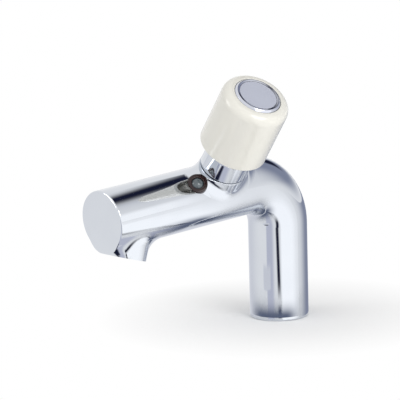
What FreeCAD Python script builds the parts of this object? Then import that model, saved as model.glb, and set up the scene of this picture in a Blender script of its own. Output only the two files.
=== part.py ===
import FreeCAD, Part
import math
import os

# Basin tap: an upright column, a tight elbow, a long level spout with a down-turned outlet,
# and a screw-down valve whose handle leans to the user's right over the spout.
# Millimetres and degrees. The origin is the centre of the column's foot on the deck,
# +Z is up and the spout points along -Y.

V = FreeCAD.Vector

# Body casting
COLUMN_RADIUS = 16.0
SPOUT_RADIUS = 16.0
SPOUT_AXIS_HEIGHT = 77.0
SPOUT_SLOPE = 3.5
SPOUT_REACH = 122.0
BEND_RADIUS = 24.0
WATERWAY_RADIUS = 8.5
FRONT_WALL = 5.0
FRONT_EDGE_ROUNDING = 0.7
FOOT_EDGE_ROUNDING = 0.5

# Foot of the column and threaded tail below the deck
SOCKET_RADIUS = 11.5
SOCKET_DEPTH = 18.0
GASKET_INNER_RADIUS = 12.6
GASKET_OUTER_RADIUS = 15.0
GASKET_THICKNESS = 1.5
TAIL_RADIUS = 10.48
TAIL_THREAD_DEPTH = 1.16
TAIL_THREAD_PITCH = 1.814
TAIL_LENGTH = 48.0
TAIL_THREAD_START = 4.0
TAIL_BORE_RADIUS = 6.5
TAIL_COLLAR_DROP = 1.0
O_RING_SECTION_RADIUS = 1.0
O_RING_HEIGHT = 12.0
O_RING_GROOVE_PLAY = 0.3
DECK_THICKNESS = 15.0
DECK_WASHER_RADIUS = 18.0
DECK_WASHER_THICKNESS = 2.5
CLAMP_WASHER_RADIUS = 16.5
CLAMP_WASHER_THICKNESS = 1.5
LOCK_NUT_ACROSS_FLATS = 29.0
LOCK_NUT_HEIGHT = 8.0
LOCK_NUT_CHAMFER = 1.2

# Valve chest, along an axis square to the spout that leans sideways
VALVE_REACH = 48.0
VALVE_LEAN = 37.5
BOSS_RADIUS = 12.6
BOSS_TOP = 19.2
BOSS_FILLET = 10.0
BOSS_EDGE_ROUNDING = 0.4
CHEST_RADIUS = 9.5
CHEST_TOP = 12.5
PARTITION_THICKNESS = 4.0
PARTITION_WALL = 3.0
PORT_RADIUS = 5.0
PORT_MARGIN = 2.0
SEAT_OUTER_RADIUS = 7.0
SEAT_SINK = 2.0
SEAT_LIP_HEIGHT = 1.5
SEAT_LIP_WIDTH = 1.2
BOSS_NECK_RADIUS = 10.6
BOSS_NECK_TO_SHOULDER = 10.0
BOSS_NECK_WALL = 2.6
NECK_COUNTERBORE_DEPTH = 2.0

# Jumper that closes on the seat
JUMPER_WASHER_RADIUS = 6.6
JUMPER_WASHER_THICKNESS = 3.0
JUMPER_PLATE_RADIUS = 7.0
JUMPER_PLATE_THICKNESS = 1.8
JUMPER_STEM_RADIUS = 2.4
JUMPER_STEM_LENGTH = 10.0
JUMPER_STUD_RADIUS = 1.6
JUMPER_NUT_ACROSS_FLATS = 5.5
JUMPER_NUT_HEIGHT = 2.2
JUMPER_STUD_TIP = 0.6

# Spindle, its packing and the cap nut
SPINDLE_THREAD_RADIUS = 6.5
SPINDLE_THREAD_PITCH = 2.5
SPINDLE_THREAD_DEPTH = 1.1
SPINDLE_NOSE_RADIUS = 5.2
SPINDLE_NOSE_LENGTH = 4.2
OPENING_TURNS = 1.5
SPINDLE_STEM_RADIUS = 4.5
SPINDLE_SHOULDER = 36.0
SPLINE_RADIUS = 4.0
SPLINE_TOOTH_DEPTH = 0.4
SPLINE_TEETH = 20
SPLINE_LENGTH = 9.2
PACKING_WASHER_THICKNESS = 1.0
PACKING_HEIGHT = 3.6
PACKING_CONE_RADIUS = 5.6
PACKING_RIM_HEIGHT = 1.5
CAP_NUT_RADIUS = 12.4
CAP_NUT_TO_SHOULDER = 3.0
CAP_NUT_ROUNDING = 3.0
CAP_NUT_EDGE = 0.5
CAP_NUT_SEAM = 0.3

# Handle, a round block with a chromed cap in its top
HANDLE_RADIUS = 18.3
HANDLE_RIM_DROP = 1.0
HANDLE_TOP = 71.6
HANDLE_TOP_ROUNDING = 5.2
HANDLE_BOTTOM_ROUNDING = 0.6
HANDLE_WALL = 2.4
HANDLE_ROOF = 5.0
HUB_RADIUS = 9.5
HUB_RIBS = 4
RIB_THICKNESS = 1.6
RIB_HEIGHT = 22.0
INSERT_RADIUS = 7.0
INSERT_WEB = 2.3
SCREW_RADIUS = 2.0
SCREW_LENGTH = 14.0
SCREW_HOLE_DEPTH = 13.5
SCREW_HEAD_RADIUS = 3.8
SCREW_HEAD_HEIGHT = 2.5
SCREW_SLOT_WIDTH = 1.0
SCREW_SLOT_DEPTH = 1.2
SPRING_WASHER_RADIUS = 3.6
SPRING_WASHER_THICKNESS = 0.8
SPRING_WASHER_GAP = 0.8
CAP_RADIUS = 12.5
CAP_RECESS_DEPTH = 2.2
CAP_CREST_RADIUS = 11.4
CAP_CREST_HEIGHT = 0.9
CAP_FIELD_RADIUS = 10.3
CAP_FIELD_HEIGHT = 0.5
CAP_EDGE_SINK = 0.2
CAP_SKIRT_LENGTH = 7.0
CAP_SKIRT_WALL = 1.1

# Outlet neck and flow straightener, along an axis tilted forward from the spout's own down
OUTLET_SETBACK = 12.0
OUTLET_DROP = 21.5
OUTLET_TILT = 19.5
OUTLET_NECK_RADIUS = 12.2
OUTLET_NECK_FILLET = 13.0
OUTLET_MOUTH_CHAMFER = 0.5
OUTLET_THREAD_RADIUS = 10.6
OUTLET_THREAD_DEPTH = 14.0
OUTLET_PASSAGE_RADIUS = 8.0
STRAIGHTENER_SINK = 0.4
STRAIGHTENER_LEDGE = 7.6
STRAIGHTENER_BORE_RADIUS = 8.2
STRAIGHTENER_CUP_RADIUS = 9.1
STRAIGHTENER_FLANGE_RADIUS = 10.3
STRAIGHTENER_FLANGE_THICKNESS = 1.0
STRAIGHTENER_HOLE_RADIUS = 0.8
STRAIGHTENER_HOLE_PITCH = 2.4
STRAIGHTENER_HOLE_MARGIN = 0.6
OUTLET_SEAL_THICKNESS = 1.6
OUTLET_SEAL_WIDTH = 2.2
SCREEN_THICKNESS = 0.4
SCREEN_HOLE_RADIUS = 0.55
SCREEN_HOLE_PITCH = 1.6
SCREEN_HOLE_MARGIN = 0.3
KEY_NOTCHES = 4
KEY_NOTCH_WIDTH = 2.0
KEY_NOTCH_DEPTH = 1.4
KEY_NOTCH_WALL = 0.8

# Round index marker let into the flare in front of the handle. Its axis leaves the spout's axis at
# INDEX_REACH, leaning to the side and tilted forward, and its heights count from there
INDEX_REACH = 60.4
INDEX_LEAN = 50.4
INDEX_TILT = 21.0
INDEX_RADIUS = 5.4
INDEX_FLOOR = 15.3
INDEX_RING_TOP = 18.6
INDEX_RING_CHAMFER = 0.6
INDEX_LENS_RADIUS = 3.2
INDEX_LENS_EDGE = 17.7
INDEX_LENS_TOP = 19.3

# Clearances
RUNNING_PLAY = 0.08
THREAD_PLAY = 0.05
SLIP_PLAY = 0.12
TOUCH_GAP = 0.05
STOP_GAP = 0.3
CAP_PLAY = 0.2
SPLINE_PLAY = 0.03

# Form of the thread grooves, as a share of the pitch, and helpers for cutting and matching
THREAD_CREST_SHARE = 0.2
OVERCUT = 1.0
WIDE = 4 * SPOUT_RADIUS
MATCH = 1e-4
SEAM_MATCH = 0.01


def directions(angle):
    """Cosine and sine of an angle in degrees."""
    return math.cos(math.radians(angle)), math.sin(math.radians(angle))


SLOPE_COS, SLOPE_SIN = directions(SPOUT_SLOPE)
SIDE = V(1, 0, 0)
FORWARD = V(0, -SLOPE_COS, -SLOPE_SIN)
UPWARD = V(0, -SLOPE_SIN, SLOPE_COS)


def spout_point(reach, rise=0.0):
    """Point in the tap's middle plane, given along the spout's axis and above it."""
    return V(0, 0, SPOUT_AXIS_HEIGHT) + FORWARD * reach + UPWARD * rise


def frame_matrix(origin, along_x, along_z):
    """Matrix that carries a local frame, given by its x and z directions, to the tap's frame."""
    along_y = along_z.cross(along_x)
    return FreeCAD.Matrix(along_x.x, along_y.x, along_z.x, origin.x,
                          along_x.y, along_y.y, along_z.y, origin.y,
                          along_x.z, along_y.z, along_z.z, origin.z,
                          0, 0, 0, 1)


def leaning_axis(lean):
    """Direction square to the spout that leans from its crest towards +X."""
    lean_cos, lean_sin = directions(lean)
    return SIDE * lean_sin + UPWARD * lean_cos


TILT_COS, TILT_SIN = directions(OUTLET_TILT)
OUTLET_AXIS = FORWARD * TILT_SIN - UPWARD * TILT_COS
OUTLET_REACH = SPOUT_REACH - OUTLET_SETBACK

UPRIGHT = FreeCAD.Matrix()
SPOUT_FRAME = frame_matrix(spout_point(0), SIDE, FORWARD)
VALVE_FRAME = frame_matrix(spout_point(VALVE_REACH), FORWARD, leaning_axis(VALVE_LEAN))
INDEX_SIDE = leaning_axis(INDEX_LEAN)
INDEX_COS, INDEX_SIN = directions(INDEX_TILT)
INDEX_FRAME = frame_matrix(spout_point(INDEX_REACH), FORWARD * INDEX_COS - INDEX_SIDE * INDEX_SIN,
                           INDEX_SIDE * INDEX_COS + FORWARD * INDEX_SIN)
OUTLET_FRAME = frame_matrix(spout_point(OUTLET_REACH, -OUTLET_DROP), SIDE, OUTLET_AXIS)

# Heights along the valve axis that follow from the driving sizes
VALVE_LIFT = OPENING_TURNS * SPINDLE_THREAD_PITCH
WASHER_BOTTOM = SEAT_LIP_HEIGHT + TOUCH_GAP
PLATE_BOTTOM = WASHER_BOTTOM + JUMPER_WASHER_THICKNESS
PLATE_TOP = PLATE_BOTTOM + JUMPER_PLATE_THICKNESS
SPINDLE_BOTTOM = PLATE_TOP + TOUCH_GAP
BOSS_NECK_TOP = SPINDLE_SHOULDER - BOSS_NECK_TO_SHOULDER
COUNTERBORE_FLOOR = BOSS_NECK_TOP - NECK_COUNTERBORE_DEPTH
THREAD_TOP = COUNTERBORE_FLOOR - VALVE_LIFT - STOP_GAP
PACKING_BOTTOM = COUNTERBORE_FLOOR + PACKING_WASHER_THICKNESS
PACKING_TOP = PACKING_BOTTOM + PACKING_HEIGHT
PACKING_OUTER_RADIUS = BOSS_NECK_RADIUS - BOSS_NECK_WALL
CAP_NUT_TOP = SPINDLE_SHOULDER - CAP_NUT_TO_SHOULDER
HANDLE_BOTTOM = SPINDLE_SHOULDER - HANDLE_RIM_DROP
SPINDLE_TOP = SPINDLE_SHOULDER + SPLINE_LENGTH
WEB_TOP = SPINDLE_TOP + INSERT_WEB
SCREW_SEAT = WEB_TOP + SPRING_WASHER_THICKNESS
RECESS_FLOOR = HANDLE_TOP - CAP_RECESS_DEPTH


def turned(outline):
    """Solid turned about the Z axis from a closed outline of (radius, height) points."""
    points = [V(radius, 0, height) for radius, height in outline]
    face = Part.Face(Part.makePolygon(points + points[:1]))
    return face.revolve(V(0, 0, 0), V(0, 0, 1), 360)


def rod(radius, bottom, top):
    """Round bar on the Z axis between two heights."""
    return Part.makeCylinder(radius, top - bottom, V(0, 0, bottom))


def ring(inner, outer, bottom, top):
    """Flat ring on the Z axis between two heights."""
    return rod(outer, bottom, top).cut(rod(inner, bottom, top))


def hexagon(across_flats, bottom, top):
    """Hexagonal bar on the Z axis."""
    corner = across_flats / math.sqrt(3)
    points = [V(corner * directions(60 * k)[0], corner * directions(60 * k)[1], bottom) for k in range(7)]
    return Part.Face(Part.makePolygon(points)).extrude(V(0, 0, top - bottom))


def block(x_range, y_range, z_range):
    """Box between two limits along each axis."""
    size = [limits[1] - limits[0] for limits in (x_range, y_range, z_range)]
    return Part.makeBox(*size, V(x_range[0], y_range[0], z_range[0]))


def rounded_at(shape, radius, height, rounding):
    """Shape with its circular edges of one radius at one height rounded."""
    def matches(edge):
        curve = edge.Curve
        return (isinstance(curve, Part.Circle) and abs(curve.Radius - radius) < MATCH
                and abs(curve.Center.z - height) < MATCH)
    return shape.makeFillet(rounding, [edge for edge in shape.Edges if matches(edge)])


def thread_profile(radius, depth, pitch, bottom, top):
    """Outline points down the outside of a thread drawn as closed V grooves, from top to bottom."""
    turns = int((top - bottom) / pitch)
    points = [(radius, top)]
    for k in range(turns):
        crest = top - k * pitch
        points += [(radius, crest - THREAD_CREST_SHARE * pitch), (radius - depth, crest - pitch / 2),
                   (radius, crest - (1 - THREAD_CREST_SHARE) * pitch)]
    return points + [(radius, bottom)]


def bore_grid(hole_radius, pitch, field_radius, bottom, top):
    """Straight holes on a triangular grid inside a circle."""
    holes = []
    rows = int(field_radius / pitch) + 1
    for row in range(-rows, rows + 1):
        for column in range(-rows, rows + 1):
            x = (column + 0.5 * (row % 2)) * pitch
            y = row * pitch * math.sqrt(3) / 2
            if math.hypot(x, y) + hole_radius < field_radius:
                holes.append(Part.makeCylinder(hole_radius, top - bottom, V(x, y, bottom)))
    return Part.makeCompound(holes)


def placed(shape, matrix):
    """Copy of a local shape in the tap's frame."""
    return shape.transformed(matrix, True)


def distance_to_axis(point, matrix):
    """Distance of a point from the local Z axis of a frame."""
    local = matrix.inverse().multVec(point)
    return math.hypot(local.x, local.y)


def seam_edges(shape, frame_a, radius_a, frame_b, radius_b):
    """Edges that lie on both of two round bars, where one grows out of the other."""
    found = []
    for edge in shape.Edges:
        points = edge.discretize(7)
        on_a = all(abs(distance_to_axis(p, frame_a) - radius_a) < SEAM_MATCH for p in points)
        on_b = all(abs(distance_to_axis(p, frame_b) - radius_b) < SEAM_MATCH for p in points)
        if on_a and on_b:
            found.append(edge)
    return found


def bent_bar(radius, foot, end_reach):
    """Round bar up the column, round the elbow and along the spout."""
    turn = 90 + SPOUT_SLOPE
    tangent = BEND_RADIUS * math.tan(math.radians(turn / 2))
    bend_start = SPOUT_AXIS_HEIGHT - tangent
    upright = rod(radius, foot, bend_start)
    disc = Part.Face(Part.Wire(Part.makeCircle(radius, V(0, 0, bend_start))))
    elbow = disc.revolve(V(0, -BEND_RADIUS, bend_start), SIDE, turn)
    level = placed(rod(radius, tangent, end_reach), SPOUT_FRAME)
    return upright.multiFuse([elbow, level]).removeSplitter()


def body_outside():
    """Outer form of the casting: bent tube with the valve boss and the outlet neck."""
    overshoot = 2 * OUTLET_NECK_RADIUS
    shape = bent_bar(COLUMN_RADIUS, 0, SPOUT_REACH + overshoot)
    boss = placed(rod(BOSS_RADIUS, 0, BOSS_TOP + 2 * BOSS_FILLET), VALVE_FRAME)
    shape = shape.fuse(boss).removeSplitter()
    shape = shape.makeFillet(BOSS_FILLET, seam_edges(shape, VALVE_FRAME, BOSS_RADIUS,
                                                     SPOUT_FRAME, SPOUT_RADIUS))
    neck = placed(rod(OUTLET_NECK_RADIUS, -OUTLET_DROP, 0), OUTLET_FRAME)
    shape = shape.fuse(neck).removeSplitter()
    shape = shape.makeFillet(OUTLET_NECK_FILLET, seam_edges(shape, OUTLET_FRAME, OUTLET_NECK_RADIUS,
                                                            SPOUT_FRAME, SPOUT_RADIUS))
    beyond = block((-WIDE, WIDE), (-WIDE, WIDE), (SPOUT_REACH, SPOUT_REACH + 2 * overshoot))
    above = rod(WIDE, BOSS_TOP, BOSS_TOP + WIDE)
    neck_of_boss = placed(rod(BOSS_NECK_RADIUS, 0, BOSS_NECK_TOP), VALVE_FRAME)
    shape = shape.cut(placed(beyond, SPOUT_FRAME)).cut(placed(above, VALVE_FRAME))
    return shape.fuse(neck_of_boss).removeSplitter()


def waterways():
    """Hollows of the casting: inlet way, partition with its port, chest and outlet way."""
    port_end = PORT_RADIUS + PORT_MARGIN
    inlet = bent_bar(WATERWAY_RADIUS, SOCKET_DEPTH, VALVE_REACH + port_end)
    over_partition = block((-CHEST_RADIUS - PARTITION_WALL, WIDE), (-WIDE, WIDE),
                           (-PARTITION_THICKNESS, WIDE))
    inlet = inlet.cut(placed(over_partition, VALVE_FRAME))
    outlet = placed(rod(WATERWAY_RADIUS, VALVE_REACH, SPOUT_REACH - FRONT_WALL), SPOUT_FRAME)
    under_partition = block((-WIDE, port_end + PARTITION_WALL), (-WIDE, WIDE), (-WIDE, 0))
    outlet = outlet.cut(placed(under_partition, VALVE_FRAME))
    chest = rod(CHEST_RADIUS, 0, CHEST_TOP)
    chest = chest.fuse(rod(SPINDLE_THREAD_RADIUS + RUNNING_PLAY, CHEST_TOP, COUNTERBORE_FLOOR))
    chest = chest.fuse(rod(PACKING_OUTER_RADIUS + THREAD_PLAY, COUNTERBORE_FLOOR,
                           BOSS_NECK_TOP + OVERCUT))
    port = rod(PORT_RADIUS, -PARTITION_THICKNESS - OVERCUT, OVERCUT)
    port = port.fuse(rod(SEAT_OUTER_RADIUS, -SEAT_SINK, OVERCUT))
    valve = placed(chest.fuse(port), VALVE_FRAME)
    mouth = rod(OUTLET_PASSAGE_RADIUS, -OUTLET_DROP, -OUTLET_THREAD_DEPTH)
    mouth = mouth.fuse(rod(OUTLET_THREAD_RADIUS, -OUTLET_THREAD_DEPTH, OVERCUT))
    flare = OUTLET_MOUTH_CHAMFER + OVERCUT
    mouth = mouth.fuse(Part.makeCone(OUTLET_THREAD_RADIUS, OUTLET_THREAD_RADIUS + flare, flare,
                                     V(0, 0, -OUTLET_MOUTH_CHAMFER)))
    return [inlet, outlet, valve, placed(mouth, OUTLET_FRAME)]


def foot_recesses():
    """Tail socket and gasket groove in the foot of the column."""
    socket = rod(SOCKET_RADIUS, -OVERCUT, SOCKET_DEPTH)
    groove = ring(GASKET_INNER_RADIUS, GASKET_OUTER_RADIUS, -OVERCUT, GASKET_THICKNESS)
    return [socket, groove]


def index_recess():
    """Round pocket for the index marker."""
    pocket = rod(INDEX_RADIUS + THREAD_PLAY, INDEX_FLOOR, 2 * SPOUT_RADIUS)
    return placed(pocket, INDEX_FRAME)


def rim(shape, matrix, height, inner):
    """Edges in a local frame's plane at one height, farther from its axis than an inner radius."""
    to_local = matrix.inverse()
    found = []
    for edge in shape.Edges:
        points = [to_local.multVec(point) for point in edge.discretize(5)]
        if all(abs(p.z - height) < MATCH and math.hypot(p.x, p.y) > inner for p in points):
            found.append(edge)
    return found


def tap_body():
    """Chromed brass casting, hollow from the foot to the outlet."""
    outside = body_outside()
    for rounding, matrix, height, inner in (
            (FRONT_EDGE_ROUNDING, SPOUT_FRAME, SPOUT_REACH, SPOUT_RADIUS - OVERCUT),
            (FOOT_EDGE_ROUNDING, UPRIGHT, 0, COLUMN_RADIUS - OVERCUT),
            (BOSS_EDGE_ROUNDING, VALVE_FRAME, BOSS_TOP, BOSS_RADIUS - OVERCUT)):
        outside = outside.makeFillet(rounding, rim(outside, matrix, height, inner))
    return outside.cut(waterways() + foot_recesses() + [index_recess()])


def inlet_tail():
    """Threaded tail with a collar that screws into the column's foot."""
    collar = SOCKET_RADIUS - THREAD_PLAY
    groove_floor = SOCKET_RADIUS - 2 * O_RING_SECTION_RADIUS
    half_groove = O_RING_SECTION_RADIUS + O_RING_GROOVE_PLAY
    thread = thread_profile(TAIL_RADIUS, TAIL_THREAD_DEPTH, TAIL_THREAD_PITCH,
                            -TAIL_LENGTH, -TAIL_THREAD_START)
    outline = [(TAIL_BORE_RADIUS, SOCKET_DEPTH), (collar, SOCKET_DEPTH),
               (collar, O_RING_HEIGHT + half_groove), (groove_floor, O_RING_HEIGHT + half_groove),
               (groove_floor, O_RING_HEIGHT - half_groove), (collar, O_RING_HEIGHT - half_groove),
               (collar, TAIL_COLLAR_DROP), (TAIL_RADIUS, TAIL_COLLAR_DROP)]
    return turned(outline + thread + [(TAIL_BORE_RADIUS, -TAIL_LENGTH)])


def tail_o_ring():
    """O-ring that seals the tail in the column's foot."""
    return Part.makeTorus(SOCKET_RADIUS - O_RING_SECTION_RADIUS, O_RING_SECTION_RADIUS,
                          V(0, 0, O_RING_HEIGHT))


def base_gasket():
    """Rubber gasket in the foot, flush with the deck."""
    return ring(GASKET_INNER_RADIUS, GASKET_OUTER_RADIUS, 0, GASKET_THICKNESS)


def deck_washer():
    """Rubber washer under the deck."""
    return ring(TAIL_RADIUS + SLIP_PLAY, DECK_WASHER_RADIUS,
                -DECK_THICKNESS - DECK_WASHER_THICKNESS, -DECK_THICKNESS)


def clamp_washer():
    """Metal washer between the rubber washer and the lock nut."""
    top = -DECK_THICKNESS - DECK_WASHER_THICKNESS
    return ring(TAIL_RADIUS + SLIP_PLAY, CLAMP_WASHER_RADIUS, top - CLAMP_WASHER_THICKNESS, top)


def lock_nut():
    """Hexagonal nut on the tail, with turned corners."""
    top = -DECK_THICKNESS - DECK_WASHER_THICKNESS - CLAMP_WASHER_THICKNESS
    bottom = top - LOCK_NUT_HEIGHT
    corner = LOCK_NUT_ACROSS_FLATS / math.sqrt(3)
    turned_blank = turned([(0, top), (corner - LOCK_NUT_CHAMFER, top),
                           (corner, top - LOCK_NUT_CHAMFER), (corner, bottom + LOCK_NUT_CHAMFER),
                           (corner - LOCK_NUT_CHAMFER, bottom), (0, bottom)])
    nut = hexagon(LOCK_NUT_ACROSS_FLATS, bottom, top).common(turned_blank)
    return nut.cut(rod(TAIL_RADIUS + THREAD_PLAY, bottom, top))


def valve_seat():
    """Renewable seat ring in the partition, with a raised lip."""
    return turned([(PORT_RADIUS, -SEAT_SINK), (SEAT_OUTER_RADIUS, -SEAT_SINK),
                   (SEAT_OUTER_RADIUS, 0), (PORT_RADIUS + SEAT_LIP_WIDTH, 0),
                   (PORT_RADIUS + SEAT_LIP_WIDTH, SEAT_LIP_HEIGHT), (PORT_RADIUS, SEAT_LIP_HEIGHT)])


def jumper_valve():
    """Brass jumper: plate, guide stem above and threaded stud below."""
    stud_tip = WASHER_BOTTOM - JUMPER_NUT_HEIGHT - JUMPER_STUD_TIP
    return turned([(0, stud_tip), (JUMPER_STUD_RADIUS, stud_tip), (JUMPER_STUD_RADIUS, PLATE_BOTTOM),
                   (JUMPER_PLATE_RADIUS, PLATE_BOTTOM), (JUMPER_PLATE_RADIUS, PLATE_TOP),
                   (JUMPER_STEM_RADIUS, PLATE_TOP), (JUMPER_STEM_RADIUS, PLATE_TOP + JUMPER_STEM_LENGTH),
                   (0, PLATE_TOP + JUMPER_STEM_LENGTH)])


def jumper_washer():
    """Rubber washer that closes on the seat's lip."""
    return ring(JUMPER_STUD_RADIUS, JUMPER_WASHER_RADIUS, WASHER_BOTTOM, PLATE_BOTTOM)


def jumper_nut():
    """Small nut that holds the rubber washer on the jumper."""
    bottom = WASHER_BOTTOM - JUMPER_NUT_HEIGHT
    nut = hexagon(JUMPER_NUT_ACROSS_FLATS, bottom, WASHER_BOTTOM)
    return nut.cut(rod(JUMPER_STUD_RADIUS, bottom, WASHER_BOTTOM))


def spline_star(root_radius, tooth_depth, bottom, top):
    """Bar with straight V splines."""
    points = []
    for k in range(2 * SPLINE_TEETH + 1):
        radius = root_radius + tooth_depth * (k % 2)
        turn_cos, turn_sin = directions(180 * k / SPLINE_TEETH)
        points.append(V(radius * turn_cos, radius * turn_sin, bottom))
    return Part.Face(Part.makePolygon(points)).extrude(V(0, 0, top - bottom))


def spindle():
    """Brass spindle: nose, lifting thread, stem and splined end with a tapped hole."""
    thread_bottom = SPINDLE_BOTTOM + SPINDLE_NOSE_LENGTH
    thread = thread_profile(SPINDLE_THREAD_RADIUS, SPINDLE_THREAD_DEPTH, SPINDLE_THREAD_PITCH,
                            thread_bottom, THREAD_TOP)
    shaft = turned([(0, SPINDLE_SHOULDER), (SPINDLE_STEM_RADIUS, SPINDLE_SHOULDER),
                    (SPINDLE_STEM_RADIUS, THREAD_TOP)] + thread
                   + [(SPINDLE_NOSE_RADIUS, thread_bottom), (SPINDLE_NOSE_RADIUS, SPINDLE_BOTTOM),
                      (0, SPINDLE_BOTTOM)])
    spline = spline_star(SPLINE_RADIUS - SPLINE_TOOTH_DEPTH, SPLINE_TOOTH_DEPTH,
                         SPINDLE_SHOULDER, SPINDLE_TOP)
    stem_hole = rod(JUMPER_STEM_RADIUS + RUNNING_PLAY, SPINDLE_BOTTOM - OVERCUT,
                    PLATE_TOP + JUMPER_STEM_LENGTH + STOP_GAP)
    screw_hole = rod(SCREW_RADIUS, SPINDLE_TOP - SCREW_HOLE_DEPTH, SPINDLE_TOP + OVERCUT)
    return shaft.fuse(spline).cut([stem_hole, screw_hole])


def packing_washer():
    """Brass ring under the gland packing."""
    return ring(SPINDLE_STEM_RADIUS + RUNNING_PLAY, PACKING_OUTER_RADIUS,
                COUNTERBORE_FLOOR, PACKING_BOTTOM)


def gland_packing():
    """Rubber gland packing with a coned shoulder round the stem."""
    bore = SPINDLE_STEM_RADIUS + TOUCH_GAP
    return turned([(bore, PACKING_BOTTOM), (PACKING_OUTER_RADIUS, PACKING_BOTTOM),
                   (PACKING_OUTER_RADIUS, PACKING_BOTTOM + PACKING_RIM_HEIGHT),
                   (PACKING_CONE_RADIUS, PACKING_TOP), (bore, PACKING_TOP)])


def cap_nut():
    """Chromed cap nut that holds the packing down round the stem."""
    bottom = BOSS_TOP + CAP_NUT_SEAM
    skirt = BOSS_NECK_RADIUS + THREAD_PLAY
    rim = PACKING_BOTTOM + PACKING_RIM_HEIGHT
    hole = SPINDLE_STEM_RADIUS + RUNNING_PLAY
    nut = turned([(skirt, bottom), (CAP_NUT_RADIUS - CAP_NUT_EDGE, bottom),
                  (CAP_NUT_RADIUS, bottom + CAP_NUT_EDGE), (CAP_NUT_RADIUS, CAP_NUT_TOP),
                  (hole, CAP_NUT_TOP), (hole, PACKING_TOP), (PACKING_CONE_RADIUS, PACKING_TOP),
                  (PACKING_OUTER_RADIUS, rim), (skirt, rim)])
    return rounded_at(nut, CAP_NUT_RADIUS, CAP_NUT_TOP, CAP_NUT_ROUNDING)


def handle():
    """Ivory moulded handle: round shell, hub for the insert, ribs and recess for the cap."""
    ceiling = HANDLE_TOP - HANDLE_ROOF
    inner = HANDLE_RADIUS - HANDLE_WALL
    shell = rod(HANDLE_RADIUS, HANDLE_BOTTOM, HANDLE_TOP)
    shell = rounded_at(shell, HANDLE_RADIUS, HANDLE_TOP, HANDLE_TOP_ROUNDING)
    shell = rounded_at(shell, HANDLE_RADIUS, HANDLE_BOTTOM, HANDLE_BOTTOM_ROUNDING)
    hollow = rod(inner, HANDLE_BOTTOM - OVERCUT, ceiling)
    hollow = rounded_at(hollow, inner, ceiling, HANDLE_TOP_ROUNDING - HANDLE_WALL)
    shell = shell.cut(hollow)
    hub = rod(HUB_RADIUS, SPINDLE_SHOULDER, ceiling + HANDLE_WALL)
    ribs = []
    for k in range(HUB_RIBS):
        rib = block((HUB_RADIUS - HANDLE_WALL / 2, inner + HANDLE_WALL / 2),
                    (-RIB_THICKNESS / 2, RIB_THICKNESS / 2), (ceiling - RIB_HEIGHT, ceiling))
        rib.rotate(V(0, 0, 0), V(0, 0, 1), 360 * k / HUB_RIBS)
        ribs.append(rib)
    shell = shell.multiFuse([hub] + ribs).removeSplitter()
    well = rod(INSERT_RADIUS, SPINDLE_SHOULDER - OVERCUT, HANDLE_TOP)
    recess = rod(CAP_RADIUS + CAP_PLAY, RECESS_FLOOR, HANDLE_TOP + OVERCUT)
    return shell.cut([well, recess])


def handle_insert():
    """Brass insert in the handle's hub, splined to the spindle."""
    sleeve = rod(INSERT_RADIUS, SPINDLE_SHOULDER, WEB_TOP)
    spline = spline_star(SPLINE_RADIUS - SPLINE_TOOTH_DEPTH + SPLINE_PLAY, SPLINE_TOOTH_DEPTH,
                         SPINDLE_SHOULDER - OVERCUT, SPINDLE_TOP)
    screw_way = rod(SCREW_RADIUS + SLIP_PLAY, SPINDLE_TOP - OVERCUT, WEB_TOP + OVERCUT)
    return sleeve.cut([spline, screw_way])


def spring_washer():
    """Split washer under the screw's head."""
    washer = ring(SCREW_RADIUS + SLIP_PLAY, SPRING_WASHER_RADIUS, WEB_TOP, SCREW_SEAT)
    half_gap = SPRING_WASHER_GAP / 2
    return washer.cut(block((0, 2 * SPRING_WASHER_RADIUS), (-half_gap, half_gap),
                            (WEB_TOP - OVERCUT, SCREW_SEAT + OVERCUT)))


def handle_screw():
    """Slotted screw that draws the handle down on the spindle."""
    tip = SCREW_SEAT - SCREW_LENGTH
    shank = SCREW_RADIUS - SPLINE_PLAY
    head_top = SCREW_SEAT + SCREW_HEAD_HEIGHT
    screw = turned([(0, tip), (shank, tip), (shank, SCREW_SEAT), (SCREW_HEAD_RADIUS, SCREW_SEAT),
                    (SCREW_HEAD_RADIUS, head_top), (0, head_top)])
    half_slot = SCREW_SLOT_WIDTH / 2
    return screw.cut(block((-SCREW_HEAD_RADIUS, SCREW_HEAD_RADIUS), (-half_slot, half_slot),
                           (head_top - SCREW_SLOT_DEPTH, head_top + OVERCUT)))


def index_cap():
    """Chromed cap in the handle's top: plain sunk field, bevelled ring and push-in skirt."""
    skirt = INSERT_RADIUS - TOUCH_GAP
    skirt_bottom = RECESS_FLOOR - CAP_SKIRT_LENGTH
    field = HANDLE_TOP + CAP_FIELD_HEIGHT
    return turned([(0, field), (CAP_FIELD_RADIUS, field),
                   (CAP_CREST_RADIUS, HANDLE_TOP + CAP_CREST_HEIGHT),
                   (CAP_RADIUS, HANDLE_TOP - CAP_EDGE_SINK),
                   (CAP_RADIUS, RECESS_FLOOR), (skirt, RECESS_FLOOR), (skirt, skirt_bottom),
                   (skirt - CAP_SKIRT_WALL, skirt_bottom), (skirt - CAP_SKIRT_WALL, RECESS_FLOOR),
                   (0, RECESS_FLOOR)])


def index_ring():
    """Dark ring of the index marker."""
    outer = INDEX_RADIUS
    return turned([(INDEX_LENS_RADIUS, INDEX_FLOOR), (outer, INDEX_FLOOR),
                   (outer, INDEX_RING_TOP - INDEX_RING_CHAMFER),
                   (outer - INDEX_RING_CHAMFER, INDEX_RING_TOP), (INDEX_LENS_RADIUS, INDEX_RING_TOP)])


def index_lens():
    """Domed lens of the index marker."""
    radius = INDEX_LENS_RADIUS - THREAD_PLAY
    rise = INDEX_LENS_TOP - INDEX_LENS_EDGE
    sphere_radius = (radius ** 2 + rise ** 2) / (2 * rise)
    stub = rod(radius, INDEX_FLOOR, INDEX_LENS_TOP)
    return stub.common(Part.makeSphere(sphere_radius, V(0, 0, INDEX_LENS_TOP - sphere_radius)))


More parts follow.
